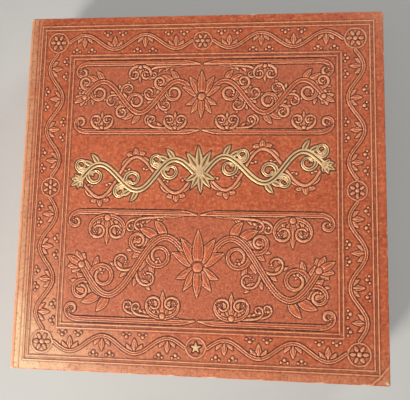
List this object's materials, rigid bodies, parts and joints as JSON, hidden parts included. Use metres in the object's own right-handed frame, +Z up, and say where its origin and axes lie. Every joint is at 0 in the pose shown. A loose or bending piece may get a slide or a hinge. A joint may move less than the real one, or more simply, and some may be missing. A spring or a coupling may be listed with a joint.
{
  "type": "postcard album",
  "caption": "Square cloth-covered album with blind-stamped front cover and gilt flourish, whose slitted card leaves fan open on linen guards between two hinged boards.",
  "frame": {"origin": "centre of the album's outline, on the outer face of the back cover, which lies on the table", "axes": "+X from the spine to the fore edge, +Y from the tail to the head, +Z up through the closed album to the front cover"},
  "size_m": [0.33, 0.326, 0.0542],
  "materials": {
    "cover_cloth": "terracotta book cloth with a fine rib, blind stamped",
    "spine_cloth": "terracotta book cloth, rubbed at head and tail",
    "joint_cloth": "terracotta book cloth, rubbed along the bend",
    "board": "grey-buff pasteboard",
    "spine_card": "buff card",
    "pastedown_paper": "cream endpaper, toned at the edges",
    "flyleaf_paper": "cream endpaper, toned at the edges",
    "leaf_card": "grey-green card, matt",
    "guard_linen": "unbleached linen",
    "lining_linen": "unbleached open linen, glued",
    "gilt": "rubbed gold stamping"
  },
  "bodies": {
    "back_cover": {"back_cloth": "cover_cloth", "back_board": "board", "back_pastedown": "pastedown_paper"},
    "spine": {"spine_cloth": "spine_cloth", "spine_card": "spine_card", "back_joint_cloth": "joint_cloth", "front_joint_cloth": "joint_cloth"},
    "front_cover": {"front_cloth": "cover_cloth", "front_board": "board", "front_pastedown": "pastedown_paper", "gilt_flourish": "gilt", "gilt_star": "gilt"},
    "back_flyleaf": {"back_flyleaf": "flyleaf_paper"},
    "front_flyleaf": {"front_flyleaf": "flyleaf_paper"},
    "leaf_01": {"leaf_01": "leaf_card", "guard_01": "guard_linen"},
    "leaf_02": {"leaf_02": "leaf_card", "guard_02": "guard_linen"},
    "leaf_03": {"leaf_03": "leaf_card", "guard_03": "guard_linen"},
    "leaf_04": {"leaf_04": "leaf_card", "guard_04": "guard_linen"},
    "leaf_05": {"leaf_05": "leaf_card", "guard_05": "guard_linen"},
    "leaf_06": {"leaf_06": "leaf_card", "guard_06": "guard_linen"},
    "leaf_07": {"leaf_07": "leaf_card", "guard_07": "guard_linen"},
    "leaf_08": {"leaf_08": "leaf_card", "guard_08": "guard_linen"},
    "leaf_09": {"leaf_09": "leaf_card", "guard_09": "guard_linen"},
    "leaf_10": {"leaf_10": "leaf_card", "guard_10": "guard_linen"},
    "leaf_11": {"leaf_11": "leaf_card", "guard_11": "guard_linen"},
    "leaf_12": {"leaf_12": "leaf_card", "guard_12": "guard_linen"},
    "leaf_13": {"leaf_13": "leaf_card", "guard_13": "guard_linen"},
    "leaf_14": {"leaf_14": "leaf_card", "guard_14": "guard_linen"},
    "leaf_15": {"leaf_15": "leaf_card", "guard_15": "guard_linen"},
    "leaf_16": {"leaf_16": "leaf_card", "guard_16": "guard_linen"},
    "leaf_17": {"leaf_17": "leaf_card", "guard_17": "guard_linen"},
    "leaf_18": {"leaf_18": "leaf_card", "guard_18": "guard_linen"},
    "leaf_19": {"leaf_19": "leaf_card", "guard_19": "guard_linen"},
    "leaf_20": {"leaf_20": "leaf_card", "guard_20": "guard_linen", "block_lining": "lining_linen"}
  },
  "joints": [
    {"name": "back_joint", "type": "hinge", "parent": "back_cover", "child": "spine", "pos_m": [-0.1625, 0, 0.0025], "axis": [0, -1, 0], "range_deg": [0, 90], "deforming": ["back_joint_cloth", "block_lining"]},
    {"name": "front_joint", "type": "hinge", "parent": "spine", "child": "front_cover", "pos_m": [-0.1625, 0, 0.0517], "axis": [0, -1, 0], "range_deg": [0, 90], "deforming": ["front_joint_cloth"]},
    {"name": "back_flyleaf_fold", "type": "hinge", "parent": "back_cover", "child": "back_flyleaf", "pos_m": [-0.16, 0, 0.0044], "axis": [0, -1, 0], "range_deg": [0, 4.29]},
    {"name": "front_flyleaf_fold", "type": "hinge", "parent": "front_cover", "child": "front_flyleaf", "pos_m": [-0.16, 0, 0.0492], "axis": [0, 1, 0], "range_deg": [0, 4.29]},
    {"name": "leaf_20_hinge", "type": "hinge", "parent": "back_cover", "child": "leaf_20", "pos_m": [-0.161, 0, 0.0048], "axis": [0, -1, 0], "range_deg": [0, 8.57]},
    {"name": "leaf_19_hinge", "type": "hinge", "parent": "leaf_20", "child": "leaf_19", "pos_m": [-0.161, 0, 0.007], "axis": [0, -1, 0], "range_deg": [0, 8.57]},
    {"name": "leaf_18_hinge", "type": "hinge", "parent": "leaf_19", "child": "leaf_18", "pos_m": [-0.161, 0, 0.0092], "axis": [0, -1, 0], "range_deg": [0, 8.57]},
    {"name": "leaf_17_hinge", "type": "hinge", "parent": "leaf_18", "child": "leaf_17", "pos_m": [-0.161, 0, 0.0114], "axis": [0, -1, 0], "range_deg": [0, 8.57]},
    {"name": "leaf_16_hinge", "type": "hinge", "parent": "leaf_17", "child": "leaf_16", "pos_m": [-0.161, 0, 0.0136], "axis": [0, -1, 0], "range_deg": [0, 8.57]},
    {"name": "leaf_15_hinge", "type": "hinge", "parent": "leaf_16", "child": "leaf_15", "pos_m": [-0.161, 0, 0.0158], "axis": [0, -1, 0], "range_deg": [0, 8.57]},
    {"name": "leaf_14_hinge", "type": "hinge", "parent": "leaf_15", "child": "leaf_14", "pos_m": [-0.161, 0, 0.018], "axis": [0, -1, 0], "range_deg": [0, 8.57]},
    {"name": "leaf_13_hinge", "type": "hinge", "parent": "leaf_14", "child": "leaf_13", "pos_m": [-0.161, 0, 0.0202], "axis": [0, -1, 0], "range_deg": [0, 8.57]},
    {"name": "leaf_12_hinge", "type": "hinge", "parent": "leaf_13", "child": "leaf_12", "pos_m": [-0.161, 0, 0.0224], "axis": [0, -1, 0], "range_deg": [0, 8.57]},
    {"name": "leaf_11_hinge", "type": "hinge", "parent": "leaf_12", "child": "leaf_11", "pos_m": [-0.161, 0, 0.0246], "axis": [0, -1, 0], "range_deg": [0, 8.57]},
    {"name": "leaf_10_hinge", "type": "hinge", "parent": "leaf_11", "child": "leaf_10", "pos_m": [-0.161, 0, 0.0268], "axis": [0, -1, 0], "range_deg": [0, 8.57]},
    {"name": "leaf_09_hinge", "type": "hinge", "parent": "leaf_10", "child": "leaf_09", "pos_m": [-0.161, 0, 0.029], "axis": [0, -1, 0], "range_deg": [0, 8.57]},
    {"name": "leaf_08_hinge", "type": "hinge", "parent": "leaf_09", "child": "leaf_08", "pos_m": [-0.161, 0, 0.0312], "axis": [0, -1, 0], "range_deg": [0, 8.57]},
    {"name": "leaf_07_hinge", "type": "hinge", "parent": "leaf_08", "child": "leaf_07", "pos_m": [-0.161, 0, 0.0334], "axis": [0, -1, 0], "range_deg": [0, 8.57]},
    {"name": "leaf_06_hinge", "type": "hinge", "parent": "leaf_07", "child": "leaf_06", "pos_m": [-0.161, 0, 0.0356], "axis": [0, -1, 0], "range_deg": [0, 8.57]},
    {"name": "leaf_05_hinge", "type": "hinge", "parent": "leaf_06", "child": "leaf_05", "pos_m": [-0.161, 0, 0.0378], "axis": [0, -1, 0], "range_deg": [0, 8.57]},
    {"name": "leaf_04_hinge", "type": "hinge", "parent": "leaf_05", "child": "leaf_04", "pos_m": [-0.161, 0, 0.04], "axis": [0, -1, 0], "range_deg": [0, 8.57]},
    {"name": "leaf_03_hinge", "type": "hinge", "parent": "leaf_04", "child": "leaf_03", "pos_m": [-0.161, 0, 0.0422], "axis": [0, -1, 0], "range_deg": [0, 8.57]},
    {"name": "leaf_02_hinge", "type": "hinge", "parent": "leaf_03", "child": "leaf_02", "pos_m": [-0.161, 0, 0.0444], "axis": [0, -1, 0], "range_deg": [0, 8.57]},
    {"name": "leaf_01_hinge", "type": "hinge", "parent": "leaf_02", "child": "leaf_01", "pos_m": [-0.161, 0, 0.0466], "axis": [0, -1, 0], "range_deg": [0, 8.57]}
  ],
  "couplings": [
    {"joint": "front_joint", "follows": "back_joint", "ratio": 1},
    {"joint": "back_flyleaf_fold", "follows": "back_joint", "ratio": 0.047619},
    {"joint": "front_flyleaf_fold", "follows": "back_joint", "ratio": 0.047619},
    {"joint": "leaf_20_hinge", "follows": "back_joint", "ratio": 0.095238},
    {"joint": "leaf_19_hinge", "follows": "back_joint", "ratio": 0.095238},
    {"joint": "leaf_18_hinge", "follows": "back_joint", "ratio": 0.095238},
    {"joint": "leaf_17_hinge", "follows": "back_joint", "ratio": 0.095238},
    {"joint": "leaf_16_hinge", "follows": "back_joint", "ratio": 0.095238},
    {"joint": "leaf_15_hinge", "follows": "back_joint", "ratio": 0.095238},
    {"joint": "leaf_14_hinge", "follows": "back_joint", "ratio": 0.095238},
    {"joint": "leaf_13_hinge", "follows": "back_joint", "ratio": 0.095238},
    {"joint": "leaf_12_hinge", "follows": "back_joint", "ratio": 0.095238},
    {"joint": "leaf_11_hinge", "follows": "back_joint", "ratio": 0.095238},
    {"joint": "leaf_10_hinge", "follows": "back_joint", "ratio": 0.095238},
    {"joint": "leaf_09_hinge", "follows": "back_joint", "ratio": 0.095238},
    {"joint": "leaf_08_hinge", "follows": "back_joint", "ratio": 0.095238},
    {"joint": "leaf_07_hinge", "follows": "back_joint", "ratio": 0.095238},
    {"joint": "leaf_06_hinge", "follows": "back_joint", "ratio": 0.095238},
    {"joint": "leaf_05_hinge", "follows": "back_joint", "ratio": 0.095238},
    {"joint": "leaf_04_hinge", "follows": "back_joint", "ratio": 0.095238},
    {"joint": "leaf_03_hinge", "follows": "back_joint", "ratio": 0.095238},
    {"joint": "leaf_02_hinge", "follows": "back_joint", "ratio": 0.095238},
    {"joint": "leaf_01_hinge", "follows": "back_joint", "ratio": 0.095238}
  ]
}
